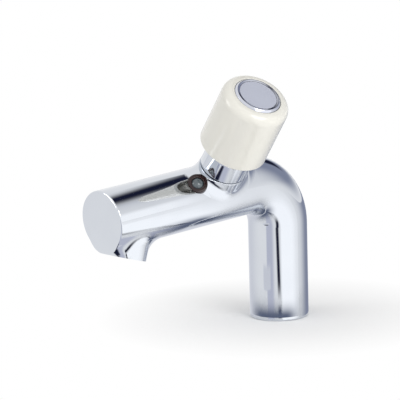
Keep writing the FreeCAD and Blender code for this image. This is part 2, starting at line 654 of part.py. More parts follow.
def outlet_seal():
    """Rubber ring between the straightener and the shoulder inside the outlet."""
    outer = OUTLET_THREAD_RADIUS - SLIP_PLAY
    bottom = -OUTLET_THREAD_DEPTH
    return ring(outer - OUTLET_SEAL_WIDTH, outer, bottom, bottom + OUTLET_SEAL_THICKNESS)


def straightener_insert():
    """Moulded flow straightener: flanged cup full of straight passages."""
    flange_top = -OUTLET_THREAD_DEPTH + OUTLET_SEAL_THICKNESS
    flange_end = flange_top + STRAIGHTENER_FLANGE_THICKNESS
    end = -STRAIGHTENER_LEDGE - SCREEN_THICKNESS
    cup = rod(STRAIGHTENER_CUP_RADIUS, flange_top, end)
    cup = cup.fuse(rod(STRAIGHTENER_FLANGE_RADIUS, flange_top, flange_end))
    field = STRAIGHTENER_BORE_RADIUS - STRAIGHTENER_HOLE_MARGIN
    return cup.cut(bore_grid(STRAIGHTENER_HOLE_RADIUS, STRAIGHTENER_HOLE_PITCH, field,
                             flange_top - OVERCUT, end + OVERCUT))


def outlet_screen():
    """Metal screen below the straightener."""
    bottom = -STRAIGHTENER_LEDGE - SCREEN_THICKNESS
    disc = rod(STRAIGHTENER_CUP_RADIUS, bottom, -STRAIGHTENER_LEDGE)
    field = STRAIGHTENER_BORE_RADIUS - SCREEN_HOLE_MARGIN
    return disc.cut(bore_grid(SCREEN_HOLE_RADIUS, SCREEN_HOLE_PITCH, field,
                              bottom - OVERCUT, OVERCUT - STRAIGHTENER_LEDGE))


def straightener_housing():
    """Threaded housing in the outlet, with a ledge for the screen and notches for a key."""
    outer = OUTLET_THREAD_RADIUS - THREAD_PLAY
    top = -OUTLET_THREAD_DEPTH + OUTLET_SEAL_THICKNESS + STRAIGHTENER_FLANGE_THICKNESS
    cup = STRAIGHTENER_CUP_RADIUS + THREAD_PLAY
    housing = turned([(cup, top), (outer, top), (outer, -STRAIGHTENER_SINK),
                      (STRAIGHTENER_BORE_RADIUS, -STRAIGHTENER_SINK),
                      (STRAIGHTENER_BORE_RADIUS, -STRAIGHTENER_LEDGE), (cup, -STRAIGHTENER_LEDGE)])
    half = KEY_NOTCH_WIDTH / 2
    for k in range(KEY_NOTCHES):
        notch = block((0, outer - KEY_NOTCH_WALL), (-half, half),
                      (-STRAIGHTENER_SINK - KEY_NOTCH_DEPTH, OVERCUT))
        notch.rotate(V(0, 0, 0), V(0, 0, 1), 360 * (k + 0.5) / KEY_NOTCHES)
        housing = housing.cut(notch)
    return housing


PIECES = [
    (tap_body, UPRIGHT),
    (inlet_tail, UPRIGHT),
    (tail_o_ring, UPRIGHT),
    (base_gasket, UPRIGHT),
    (deck_washer, UPRIGHT),
    (clamp_washer, UPRIGHT),
    (lock_nut, UPRIGHT),
    (valve_seat, VALVE_FRAME),
    (jumper_valve, VALVE_FRAME),
    (jumper_washer, VALVE_FRAME),
    (jumper_nut, VALVE_FRAME),
    (spindle, VALVE_FRAME),
    (packing_washer, VALVE_FRAME),
    (gland_packing, VALVE_FRAME),
    (cap_nut, VALVE_FRAME),
    (handle, VALVE_FRAME),
    (handle_insert, VALVE_FRAME),
    (spring_washer, VALVE_FRAME),
    (handle_screw, VALVE_FRAME),
    (index_cap, VALVE_FRAME),
    (index_ring, INDEX_FRAME),
    (index_lens, INDEX_FRAME),
    (outlet_seal, OUTLET_FRAME),
    (straightener_insert, OUTLET_FRAME),
    (outlet_screen, OUTLET_FRAME),
    (straightener_housing, OUTLET_FRAME),
]

os.makedirs("parts", exist_ok=True)
for make_piece, frame in PIECES:
    solid = placed(make_piece(), frame)
    solid.exportStep("parts/" + make_piece.__name__ + ".step")
    box = solid.BoundBox
    print(make_piece.__name__, len(solid.Solids), solid.isValid(), round(solid.Volume, 1),
          [round(value, 2) for value in (box.XMin, box.XMax, box.YMin, box.YMax, box.ZMin, box.ZMax)])
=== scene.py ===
import math

import bpy
import numpy as np
from mathutils import Matrix


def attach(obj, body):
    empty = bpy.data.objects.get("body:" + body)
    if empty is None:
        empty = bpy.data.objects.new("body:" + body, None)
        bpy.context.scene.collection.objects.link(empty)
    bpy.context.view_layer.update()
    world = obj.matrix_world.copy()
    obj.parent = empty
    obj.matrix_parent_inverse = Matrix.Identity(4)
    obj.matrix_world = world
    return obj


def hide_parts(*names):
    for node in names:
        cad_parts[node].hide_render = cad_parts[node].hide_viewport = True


# Basin tap, dressed for a picture. Shapes are worked out in millimetres in the tap's own frame
# and put into the meshes in metres: +Z is up the column, the spout points along -Y, and the
# handle leans towards +X.

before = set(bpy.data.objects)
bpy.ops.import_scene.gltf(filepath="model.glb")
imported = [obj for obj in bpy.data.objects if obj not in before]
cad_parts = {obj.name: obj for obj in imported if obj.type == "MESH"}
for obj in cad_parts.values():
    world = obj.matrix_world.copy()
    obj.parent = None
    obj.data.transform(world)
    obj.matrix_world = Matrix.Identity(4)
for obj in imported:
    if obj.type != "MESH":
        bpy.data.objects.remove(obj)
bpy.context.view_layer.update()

METRES = 0.001
TURN = 2 * math.pi

# Sizes of the real tap in millimetres, the same as in the part's source
SPOUT_AXIS_HEIGHT = 77.0
SPOUT_SLOPE = math.radians(3.5)
VALVE_REACH = 48.0
VALVE_LEAN = math.radians(37.5)
INDEX_REACH = 60.4
INDEX_LEAN = math.radians(50.4)
INDEX_TILT = math.radians(21.0)
OUTLET_REACH = 110.0
OUTLET_DROP = 21.5
OUTLET_TILT = math.radians(19.5)

SIDE = np.array([1.0, 0.0, 0.0])
FORWARD = np.array([0.0, -math.cos(SPOUT_SLOPE), -math.sin(SPOUT_SLOPE)])
UPWARD = np.array([0.0, -math.sin(SPOUT_SLOPE), math.cos(SPOUT_SLOPE)])


def spout_point(reach, rise=0.0):
    """Point in the tap's middle plane: reach along the spout's axis, then rise above it."""
    return np.array([0.0, 0.0, SPOUT_AXIS_HEIGHT]) + reach * FORWARD + rise * UPWARD


def leaning(lean):
    """Direction square to the spout: its crest turned by the lean towards +X."""
    return math.sin(lean) * SIDE + math.cos(lean) * UPWARD


def axes(origin, along_x, along_z):
    """Origin and the three directions of a local frame, the third by the right-hand rule."""
    return origin, along_x, np.cross(along_z, along_x), along_z


UPRIGHT = axes(np.zeros(3), SIDE, np.array([0.0, 0.0, 1.0]))
VALVE = axes(spout_point(VALVE_REACH), FORWARD, leaning(VALVE_LEAN))
INDEX = axes(spout_point(INDEX_REACH),
             math.cos(INDEX_TILT) * FORWARD - math.sin(INDEX_TILT) * leaning(INDEX_LEAN),
             math.cos(INDEX_TILT) * leaning(INDEX_LEAN) + math.sin(INDEX_TILT) * FORWARD)
OUTLET_AXIS = math.sin(OUTLET_TILT) * FORWARD - math.cos(OUTLET_TILT) * UPWARD
OUTLET = axes(spout_point(OUTLET_REACH, -OUTLET_DROP), SIDE, OUTLET_AXIS)


# Materials

SATIN_EDGE = 0.0002


def linear(code):
    """Linear colour of an sRGB hex code: each channel below 0.04045 over 12.92, else the 2.4 power."""
    srgb = np.array([int(code[k:k + 2], 16) for k in (1, 3, 5)]) / 255
    low, high = srgb / 12.92, ((srgb + 0.055) / 1.055) ** 2.4
    return (*np.where(srgb <= 0.04045, low, high), 1.0)


def node(tree, kind, settings=None, **links):
    """Adds a node, sets its own settings, and sets or links its inputs."""
    made = tree.nodes.new("ShaderNode" + kind)
    for name, value in (settings or {}).items():
        setattr(made, name, value)
    for name, value in links.items():
        socket = made.inputs[int(name[1:])] if name[0] == "_" else made.inputs[name.replace("_", " ")]
        if isinstance(value, bpy.types.NodeSocket):
            tree.links.new(value, socket)
        else:
            socket.default_value = value
    return made


def shader(name, **values):
    """New material with its principled shader, and the shader's uniform values set on its sockets."""
    made = bpy.data.materials.new(name)
    made.use_nodes = True
    surface = made.node_tree.nodes["Principled BSDF"]
    for key, value in values.items():
        surface.inputs[key.replace("_", " ")].default_value = value
    return made, made.node_tree, surface


def chrome(name, tones=("#d0d4db", "#d6dae0"), satin_radius=None):
    """Nickel-chrome plate on polished brass. The eye gets a cool grey mirror with soft haze and a
    barely wavy surface from hand polishing, waves about 14 mm long. Within the satin radius, in
    metres from the valve's axis, the plate is blasted, and the eye gets an even grey sheen."""
    made, tree, surface = shader(name, Metallic=1.0)
    place = node(tree, "TexCoord").outputs["Object"]
    waves = node(tree, "TexNoise", Vector=place, Scale=70.0, Detail=1.0)
    haze = node(tree, "TexNoise", Vector=place, Scale=220.0, Detail=3.0)
    tone = node(tree, "MapRange", Value=haze.outputs["Fac"], To_Min=0.035, To_Max=0.075)
    tint = node(tree, "ValToRGB", Fac=waves.outputs["Fac"])
    for stop, tone_code in zip(tint.color_ramp.elements, tones):
        stop.color = linear(tone_code)
    bump = node(tree, "Bump", Strength=0.06, Distance=0.0004, Height=waves.outputs["Fac"])
    tree.links.new(tint.outputs["Color"], surface.inputs["Base Color"])
    rough = tone.outputs["Result"]
    if satin_radius:
        origin, _, _, axis = VALVE
        arm = node(tree, "VectorMath", {"operation": "SUBTRACT"}, _0=place, _1=tuple(origin * METRES))
        cross = node(tree, "VectorMath", {"operation": "CROSS_PRODUCT"}, _0=arm.outputs["Vector"],
                     _1=tuple(axis))
        away = node(tree, "VectorMath", {"operation": "LENGTH"}, _0=cross.outputs["Vector"])
        satin = node(tree, "MapRange", Value=away.outputs["Value"], From_Min=satin_radius - SATIN_EDGE,
                     From_Max=satin_radius, To_Min=0.7, To_Max=0.0)
        rougher = node(tree, "Math", {"operation": "MAXIMUM"}, _0=rough, _1=satin.outputs["Result"])
        rough = rougher.outputs["Value"]
    tree.links.new(rough, surface.inputs["Roughness"])
    tree.links.new(bump.outputs["Normal"], surface.inputs["Normal"])
    return made


def ivory():
    """Ivory urea moulding, pressed and polished. The eye gets a warm, nearly white gloss with a
    faint cloudiness and the slight orange peel of the mould, grains about 2 mm across."""
    made, tree, surface = shader("ivory_urea_moulded", IOR=1.5, Coat_Weight=0.3, Coat_Roughness=0.04)
    place = node(tree, "TexCoord").outputs["Object"]
    cloud = node(tree, "TexNoise", Vector=place, Scale=60.0, Detail=2.0)
    peel = node(tree, "TexNoise", Vector=place, Scale=500.0, Detail=1.0)
    tint = node(tree, "ValToRGB", Fac=cloud.outputs["Fac"])
    tint.color_ramp.elements[0].color = linear("#e4e2d9")
    tint.color_ramp.elements[1].color = linear("#e9e7df")
    gloss = node(tree, "MapRange", Value=peel.outputs["Fac"], To_Min=0.14, To_Max=0.24)
    bump = node(tree, "Bump", Strength=0.05, Distance=0.0001, Height=peel.outputs["Fac"])
    tree.links.new(tint.outputs["Color"], surface.inputs["Base Color"])
    tree.links.new(gloss.outputs["Result"], surface.inputs["Roughness"])
    tree.links.new(bump.outputs["Normal"], surface.inputs["Normal"])
    return made


def speckled(name, dark, light, roughness, grain_mm, depth_mm, **values):
    """Solid material with a fine grain of one real size: two near tones, a spread of gloss and
    a slight relief, all from one noise field in object space."""
    made, tree, surface = shader(name, **values)
    place = node(tree, "TexCoord").outputs["Object"]
    grain = node(tree, "TexNoise", Vector=place, Scale=1 / (grain_mm * METRES), Detail=2.0)
    tint = node(tree, "ValToRGB", Fac=grain.outputs["Fac"])
    tint.color_ramp.elements[0].color = linear(dark)
    tint.color_ramp.elements[1].color = linear(light)
    gloss = node(tree, "MapRange", Value=grain.outputs["Fac"], To_Min=roughness[0], To_Max=roughness[1])
    bump = node(tree, "Bump", Strength=0.3, Distance=depth_mm * METRES, Height=grain.outputs["Fac"])
    tree.links.new(tint.outputs["Color"], surface.inputs["Base Color"])
    tree.links.new(gloss.outputs["Result"], surface.inputs["Roughness"])
    tree.links.new(bump.outputs["Normal"], surface.inputs["Normal"])
    return made


CHROME = chrome("chrome_plate_polished")
SATIN_FIELD = chrome("chrome_plate_satin_field", ("#ced1dc", "#d4d7e1"), 0.0102)
IVORY = ivory()
BRASS = speckled("brass_turned", "#b8934f", "#d2b06c", (0.22, 0.36), 0.8, 0.02, Metallic=1.0)
STEEL = speckled("stainless_steel_plain", "#a3a6a8", "#c4c6c8", (0.25, 0.4), 0.6, 0.02, Metallic=1.0)
RUBBER = speckled("black_rubber_moulded", "#141415", "#232324", (0.55, 0.75), 0.7, 0.05)
WHITE_PLASTIC = speckled("acetal_moulded", "#dcdedd", "#eceeee", (0.3, 0.45), 1.5, 0.02)
DARK_RING = speckled("dark_phenolic_moulded", "#1b0c0e", "#2a1214", (0.12, 0.22), 1.2, 0.01)
SMOKE_LENS = speckled("smoked_acrylic_dome", "#4a5458", "#5f6a70", (0.04, 0.08), 3.0, 0.003,
                      Coat_Weight=0.6)

# Shapes

def put(name, points, normals, faces, material, body, *covers):
    """New piece from points in millimetres. Its faces are rows of point numbers, -1 where a row
    has three corners. Given normals are kept, so that tight edges don't bend the flats by them.
    Without them, edges over 35 degrees stay sharp."""
    mesh = bpy.data.meshes.new(name)
    mesh.from_pydata((points * METRES).tolist(), [], [[k for k in row if k >= 0] for row in faces.tolist()])
    mesh.shade_smooth()
    if normals is None:
        mesh.set_sharp_from_angle(angle=math.radians(35))
    else:
        mesh.normals_split_custom_set_from_vertices(normals.tolist())
    mesh.materials.append(material)
    made = bpy.data.objects.new(name, mesh)
    bpy.context.collection.objects.link(made)
    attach(made, body)
    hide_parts(*covers)
    return made


def rounded(corners, closed, steps=8):
    """Outline with a round at each corner, from rows of radius, height and rounding.
    The direction of travel turns evenly from the side before the corner to the side after it.
    A round starts rounding * tan(half the turn) before the corner, its centre lies one rounding
    to the inner side, and its points are the centre less that vector turned with the travel.
    The outward normal is the travel turned a quarter to the right. Open outlines keep their ends."""
    rows = np.array(corners, float)
    here, size = rows[:, :2], rows[:, 2:3].copy()
    ahead = np.roll(here, -1, axis=0) - here
    ahead /= np.linalg.norm(ahead, axis=1, keepdims=True)
    behind = np.roll(ahead, 1, axis=0)
    if not closed:
        ahead[-1], behind[0], size[[0, -1]] = behind[-1], ahead[0], 0
    turn = np.arctan2(behind[:, :1] * ahead[:, 1:] - behind[:, 1:] * ahead[:, :1],
                      (behind * ahead).sum(axis=1, keepdims=True))
    side = np.sign(turn)
    left = np.stack([-behind[:, 1], behind[:, 0]], axis=1)
    centre = here - behind * size * np.tan(abs(turn) / 2) + side * size * left
    swept = turn * np.linspace(0, 1, steps)
    travel = np.stack([behind[:, :1] * np.cos(swept) - behind[:, 1:] * np.sin(swept),
                       behind[:, :1] * np.sin(swept) + behind[:, 1:] * np.cos(swept)], axis=2)
    normal = np.stack([travel[..., 1], -travel[..., 0]], axis=2)
    points = centre[:, None] + (side * size)[:, None] * normal
    if not closed:
        return (np.vstack([here[:1], points[1:-1].reshape(-1, 2), here[-1:]]),
                np.vstack([normal[0, :1], normal[1:-1].reshape(-1, 2), normal[-1, -1:]]))
    return points.reshape(-1, 2), normal.reshape(-1, 2)


def grid_faces(rows, columns, closed):
    """Quads of a grid whose columns go round, and whose rows go round too if it is closed."""
    first = np.arange(rows if closed else rows - 1)[:, None] * columns
    after = (first + columns) % (rows * columns)
    column = np.arange(columns)[None]
    beside = (column + 1) % columns
    return np.stack([first + column, first + beside, after + beside, after + column], axis=2).reshape(-1, 4)


def carried(frame_axes, across, along, up):
    """Points of a local frame carried to the tap's frame: origin plus each direction times its amount."""
    origin, x, y, z = frame_axes
    return origin + across[..., None] * x + along[..., None] * y + up[..., None] * z


def spun(outline, normals, segments, closed, swell=None):
    """Outline spun about the local z axis. Each point goes round a circle of its radius, and swell,
    a function of the angle and the outline's rows, is added to that radius. Where the outline starts
    or ends on the axis, its point is one pole. Returns local points, normals and faces."""
    angle = np.linspace(0, TURN, segments, endpoint=False)[None]
    radius = outline[:, :1] + (swell(angle, outline) if swell else 0)
    height = outline[:, 1:] + 0 * angle
    grid = np.stack([radius * np.cos(angle), radius * np.sin(angle), height], axis=2).reshape(-1, 3)
    outward = np.stack([normals[:, :1] * np.cos(angle), normals[:, :1] * np.sin(angle),
                        normals[:, 1:] + 0 * angle], axis=2).reshape(-1, 3)
    faces = grid_faces(len(outline), segments, closed)
    if not closed:
        last = (len(outline) - 1) * segments
        faces[faces < segments] = 0
        faces[faces >= last] = last
        faces[:segments, 1] = -1
        faces[-segments:, 3] = -1
    used, numbers = np.unique(faces[faces >= 0], return_inverse=True)
    faces[faces >= 0] = numbers
    return grid[used], outward[used], faces


def turned(name, frame_axes, material, body, corners, closed=True, segments=144, swell=None):
    """Round piece: the outline with its corners rounded, spun about the frame's z axis, and put in
    the place of the solid of the same name."""
    outline, slopes = corners if isinstance(corners, tuple) else rounded(corners, closed)
    points, outward, faces = spun(outline, slopes, segments, closed, swell)
    directions = carried((0, *frame_axes[1:]), *outward.T)
    return put(name + "_shape", carried(frame_axes, *points.T), None if swell else directions,
               faces, material, body, name)


def put_all(name, frame_axes, material, body, shells):
    """One piece from several closed shells in a local frame, in the place of the solid of that name."""
    first = np.cumsum([0] + [len(points) for points, _, _ in shells])
    faces = np.vstack([np.where(rows < 0, rows, rows + start) for (_, _, rows), start in zip(shells, first)])
    points, outward = (np.vstack([shell[k] for shell in shells]) for k in (0, 1))
    directions = carried((0, *frame_axes[1:]), *outward.T)
    return put(name + "_shape", carried(frame_axes, *points.T), directions, faces, material, body, name)


# The handle's ribs, in mm: thickness, span in height with its middle, and span in radius
RIB_THICKNESS, RIB_BOTTOM, RIB_MIDDLE, RIB_TOP = 1.6, 44.6, 56.0, 67.4
RIB_INNER, RIB_OUTER = 8.6, 16.8

# Threads in mm: pitch, depth, bottom and top
TAIL_THREAD = (1.814, 1.16, -48.0, -3.6)
LIFTING_THREAD = (2.5, 1.1, 10.6, 19.95)
SPLINES, SPLINE_DEPTH, SPLINE_START = 20, 0.4, 36.05

# The lock nut in mm: half its width across flats, and the radii where its end faces begin and end
NUT_HALF_FLATS, NUT_FACE_INNER, NUT_FACE_OUTER = 14.5, 11.5, 15.2


def rib(angle):
    """Rib between the handle's hub and its wall: a rounded upright outline drawn out along the
    radius, turned by the angle, with a fan of triangles over each end inside the walls."""
    half, bottom, top = RIB_THICKNESS / 2, RIB_BOTTOM, RIB_TOP
    outline, slopes = rounded([(-half, bottom, 0.5), (half, bottom, 0.5), (half, top, 0.2),
                               (-half, top, 0.2)], True)
    count = len(outline)
    along = np.array([RIB_INNER, RIB_OUTER])[:, None]
    grid = np.stack([along + 0 * outline[:, 0], 0 * along + outline[:, 0], 0 * along + outline[:, 1]],
                    axis=2)
    middle = np.array([[RIB_INNER, 0, RIB_MIDDLE], [RIB_OUTER, 0, RIB_MIDDLE]])
    normals = np.vstack([np.column_stack([0 * slopes[:, 0], slopes])] * 2 + [[[-1, 0, 0]], [[1, 0, 0]]])
    here = np.arange(count)
    after = (here + 1) % count
    none = 0 * here - 1
    faces = np.vstack([np.stack([here, here + count, after + count, after], axis=1)[:, ::-1],
                       np.stack([after, here, 0 * here + 2 * count, none], axis=1),
                       np.stack([here + count, after + count, 0 * here + 2 * count + 1, none], axis=1)])
    turn = np.array([[math.cos(angle), math.sin(angle), 0], [-math.sin(angle), math.cos(angle), 0],
                     [0, 0, 1]])
    return np.vstack([grid.reshape(-1, 3), middle]) @ turn, normals @ turn, faces


def divided(outline, slopes, spacing):
    """Outline with points added along its long sides, evenly by length, and their normals between
    those of the ends."""
    length = np.append(0, np.cumsum(np.linalg.norm(np.diff(outline, axis=0), axis=1)))
    stops = np.union1d(length, np.arange(0, length[-1], spacing))
    between = [np.interp(stops, length, column) for column in np.hstack([outline, slopes]).T]
    return np.stack(between[:2], axis=1), np.stack(between[2:], axis=1)


def groove(angle, height, pitch, depth, bottom, top):
    """Depth of a rounded right-hand thread: half a cosine wave of the pitch, whose phase falls by
    one for each turn, fading out over half a pitch at both ends."""
    wave = 0.5 - 0.5 * np.cos(TURN * (height / pitch - angle / TURN))
    fade = np.clip(np.minimum(height - bottom, top - height) / (pitch / 2), 0, 1)
    return depth * wave * fade


def tail_thread(angle, outline):
    """The tail's outer wall sinks by the thread's groove below the collar."""
    cut = groove(angle, outline[:, 1:], *TAIL_THREAD)
    return np.where((outline[:, :1] > 10.0) & (outline[:, 1:] < TAIL_THREAD[3]), -cut, 0)


def nut_flats(angle, outline):
    """The radius is cut to half the width across flats over the cosine of the angle from the nearest
    flat's middle. The end faces, from their inner radius to the chamfer, shrink evenly to it."""
    radius = outline[:, :1]
    flat = NUT_HALF_FLATS / np.cos(angle % (TURN / 6) - TURN / 12)
    face = ((np.minimum(flat, NUT_FACE_OUTER) - NUT_FACE_OUTER) * (radius - NUT_FACE_INNER)
            / (NUT_FACE_OUTER - NUT_FACE_INNER))
    return np.where(radius > NUT_FACE_OUTER, np.minimum(radius, flat) - radius,
                    np.where(radius > NUT_FACE_INNER, face, 0))


def spindle_cuts(angle, outline):
    """The lifting thread sinks into the wide part, and V splines into the upper end, as a triangle
    wave of the angle."""
    radius, height = outline[:, :1], outline[:, 1:]
    thread = np.where(radius > 6.0, groove(angle, height, *LIFTING_THREAD), 0)
    spline = SPLINE_DEPTH * abs(2 * ((angle * SPLINES / TURN) % 1) - 1)
    return -thread - np.where((height > SPLINE_START) & (radius > 3.8), spline, 0)


# Every row is radius, height and rounding in mm, with the solid on the left of the way along it

shell = spun(*rounded([(15.9, 35.0, 0.5), (18.3, 35.0, 0.6), (18.3, 71.6, 5.2), (12.7, 71.6, 0.3),
                       (12.7, 69.4, 0.2), (7.0, 69.4, 0.2), (7.0, 36.0, 0.2), (9.5, 36.0, 0.4),
                       (9.5, 66.6, 0.8), (15.9, 66.6, 2.8)], True), 192, True)
put_all("handle", VALVE, IVORY, "handle", [shell] + [rib(k * TURN / 4) for k in range(4)])
turned("index_cap", VALVE, SATIN_FIELD, "handle",
       [(0, 69.4, 0), (5.85, 69.4, 0.1), (5.85, 62.4, 0.3), (6.95, 62.4, 0.3), (6.95, 69.4, 0.1),
        (12.5, 69.4, 0.2), (12.5, 71.4, 0.5), (11.4, 72.5, 0.5), (10.3, 72.1, 0.4), (0, 72.06, 0)],
       closed=False, segments=192)
turned("cap_nut", VALVE, CHROME, "body",
       [(10.65, 19.5, 0.2), (12.4, 19.5, 0.5), (12.4, 33.0, 3.0), (4.58, 33.0, 0.4), (4.58, 28.6, 0.1),
        (5.6, 28.6, 0.1), (8.0, 26.5, 0.1), (10.65, 26.5, 0.2)], segments=192)
turned("index_ring", INDEX, DARK_RING, "body",
       [(3.2, 15.3, 0.1), (5.4, 15.3, 0.1), (5.4, 18.6, 0.8), (3.2, 18.6, 0.35)])
lens_angle = np.linspace(math.asin(3.15 / 3.901), 0, 24)
turned("index_lens", INDEX, SMOKE_LENS, "body",
       (np.vstack([[0, 15.3], [3.1, 15.3], [3.15, 15.35],
                   np.stack([3.901 * np.sin(lens_angle), 15.399 + 3.901 * np.cos(lens_angle)], axis=1)]),
        np.vstack([[0, -1], [0, -1], [1, 0], np.stack([np.sin(lens_angle), np.cos(lens_angle)], axis=1)])),
       closed=False, segments=96)

turned("inlet_tail", UPRIGHT, BRASS, "body",
       divided(*rounded([(6.5, -48.0, 0.3), (10.48, -48.0, 0.5), (10.48, 1.0, 0.1), (11.45, 1.0, 0.2),
                         (11.45, 10.7, 0.2), (9.5, 10.7, 0.3), (9.5, 13.3, 0.3), (11.45, 13.3, 0.2),
                         (11.45, 18.0, 0.4), (6.5, 18.0, 0.4)], True), 0.2),
       segments=96, swell=tail_thread)
turned("lock_nut", UPRIGHT, BRASS, "body",
       divided(*rounded([(10.53, -27.0, 0.4), (15.2, -27.0, 0.1), (16.74, -25.8, 0.1),
                         (16.74, -20.2, 0.1), (15.2, -19.0, 0.1), (10.53, -19.0, 0.4)], True), 0.25),
       swell=nut_flats)
turned("spindle", VALVE, BRASS, "handle",
       divided(*rounded([(0, 16.65, 0), (2.48, 16.65, 0.1), (2.48, 6.4, 0.2), (5.2, 6.4, 0.3),
                         (5.2, 10.6, 0.1), (6.5, 10.6, 0.3), (6.5, 19.95, 0.3), (4.5, 19.95, 0.1),
                         (4.5, 36.0, 0.1), (4.0, 36.0, 0.05), (4.0, 45.2, 0.3), (2.0, 45.2, 0.2),
                         (2.0, 31.7, 0.1), (0, 31.7, 0)], False), 0.25),
       closed=False, segments=160, swell=spindle_cuts)

# Plain rings and the jumper: name, frame, finish, body, outline
for name, place, finish, body, outline in (
        ("tail_o_ring", UPRIGHT, RUBBER, "body",
         [(9.5, 11.0, 0.99), (11.5, 11.0, 0.99), (11.5, 13.0, 0.99), (9.5, 13.0, 0.99)]),
        ("base_gasket", UPRIGHT, RUBBER, "body",
         [(12.6, 0, 0.3), (15.0, 0, 0.3), (15.0, 1.5, 0.3), (12.6, 1.5, 0.3)]),
        ("deck_washer", UPRIGHT, RUBBER, "body",
         [(10.6, -17.5, 0.3), (18.0, -17.5, 0.5), (18.0, -15.0, 0.5), (10.6, -15.0, 0.3)]),
        ("clamp_washer", UPRIGHT, STEEL, "body",
         [(10.6, -19.0, 0.2), (16.5, -19.0, 0.5), (16.5, -17.5, 0.15), (10.6, -17.5, 0.1)]),
        ("valve_seat", VALVE, STEEL, "body",
         [(5.0, -2.0, 0.2), (7.0, -2.0, 0.2), (7.0, 0, 0.1), (6.2, 0, 0.1), (6.2, 1.5, 0.4),
          (5.0, 1.5, 0.4)]),
        ("jumper_valve", VALVE, BRASS, "jumper",
         [(0, -1.25, 0), (1.6, -1.25, 0.3), (1.6, 4.55, 0.1), (7.0, 4.55, 0.2), (7.0, 6.35, 0.4),
          (2.4, 6.35, 0.1), (2.4, 16.35, 0.5), (0, 16.35, 0)]),
        ("jumper_washer", VALVE, RUBBER, "jumper",
         [(1.6, 1.55, 0.2), (6.6, 1.55, 0.4), (6.6, 4.55, 0.4), (1.6, 4.55, 0.2)]),
        ("packing_washer", VALVE, BRASS, "body",
         [(4.58, 24.0, 0.15), (8.0, 24.0, 0.15), (8.0, 25.0, 0.15), (4.58, 25.0, 0.15)]),
        ("gland_packing", VALVE, RUBBER, "body",
         [(4.55, 25.0, 0.2), (8.0, 25.0, 0.2), (8.0, 26.5, 0.2), (5.6, 28.6, 0.2), (4.55, 28.6, 0.2)]),
        ("outlet_seal", OUTLET, RUBBER, "body",
         [(8.28, -14.0, 0.4), (10.48, -14.0, 0.4), (10.48, -12.4, 0.4), (8.28, -12.4, 0.4)])):
    turned(name, place, finish, body, outline, closed=name != "jumper_valve")

FINISH = {
    CHROME: ["tap_body", "cap_nut", "index_cap", "straightener_housing"],
    IVORY: ["handle"],
    BRASS: ["inlet_tail", "lock_nut", "spindle", "jumper_valve", "jumper_nut", "packing_washer",
            "handle_insert"],
    STEEL: ["valve_seat", "clamp_washer", "handle_screw", "spring_washer", "outlet_screen"],
    RUBBER: ["tail_o_ring", "base_gasket", "deck_washer", "jumper_washer", "gland_packing",
             "outlet_seal"],
    WHITE_PLASTIC: ["straightener_insert"],
    DARK_RING: ["index_ring"],
    SMOKE_LENS: ["index_lens"],
}
for material, names in FINISH.items():
    for name in names:
        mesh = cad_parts[name].data
        mesh.materials.clear()
        mesh.materials.append(material)


# Studio: pale floor, white surroundings, soft lamps, and glowing cards that only mirrors see. The cards
# are painted reflections: they light and shade nothing, and give the chrome the dark and pale reflections
# of a room. They are placed for the camera below, and the nearest start 2 mm outside the foot.

TAP_MIDDLE = np.array([0, -0.05, 0.08])


def glow(name, code, strength):
    """Material that shines in one colour, as far as the card's cover attribute lets it: a painted reflection
    for the mirrors, not a lamp.
    """
    made = bpy.data.materials.new(name)
    made.use_nodes = True
    made.node_tree.nodes.clear()
    light = node(made.node_tree, "Emission", Color=linear(code), Strength=strength)
    cover = node(made.node_tree, "Attribute", {"attribute_name": "cover"})
    clear = node(made.node_tree, "BsdfTransparent")
    mixed = node(made.node_tree, "MixShader", _0=cover.outputs["Fac"], _1=clear.outputs["BSDF"],
                 _2=light.outputs["Emission"])
    node(made.node_tree, "OutputMaterial", Surface=mixed.outputs["Shader"])
    return made


def staged(name, points, faces, material, mirrored_only=True):
    """Stage piece from points in metres. A card for mirrors only casts nothing and isn't seen itself."""
    mesh = bpy.data.meshes.new(name)
    mesh.from_pydata(points.tolist(), [], faces.tolist())
    mesh.materials.append(material)
    made = bpy.data.objects.new(name, mesh)
    bpy.context.collection.objects.link(made)
    if mirrored_only:
        made.visible_camera = made.visible_diffuse = made.visible_shadow = False
        made.visible_transmission = False
    return made


def bearing(angle):
    """Level direction at an angle to the right of the one from the tap to the camera."""
    return np.stack([np.sin(AZIMUTH + angle), -np.cos(AZIMUTH + angle), 0 * angle], axis=-1)


def patch(rows, columns, place):
    """Grid of points place(u, v) with both parameters from 0 to 1, and its quads."""
    v, u = np.meshgrid(np.linspace(0, 1, rows), np.linspace(0, 1, columns), indexing="ij")
    first = (np.arange(rows - 1)[:, None] * columns + np.arange(columns - 1)[None]).reshape(-1, 1)
    return place(u, v).reshape(-1, 3), first + np.array([0, 1, columns + 1, columns])


def card(name, rows, columns, place, material, fades):
    """Card for mirrors over the grid place(u, v). It thins out to nothing over four shares of its
    size: at the start and the end of u, and at the start and the end of v."""
    v, u = np.meshgrid(np.linspace(0, 1, rows), np.linspace(0, 1, columns), indexing="ij")
    cover = np.ones_like(u)
    for share, inward in zip(fades, (u, 1 - u, v, 1 - v)):
        if share:
            ramp = np.clip(inward / share, 0, 1)
            cover = cover * ramp * ramp * (3 - 2 * ramp)
    made = staged(name, *patch(rows, columns, place), material)
    layer = made.data.attributes.new("cover", "FLOAT", "POINT")
    layer.data.foreach_set("value", cover.reshape(-1))
    return made


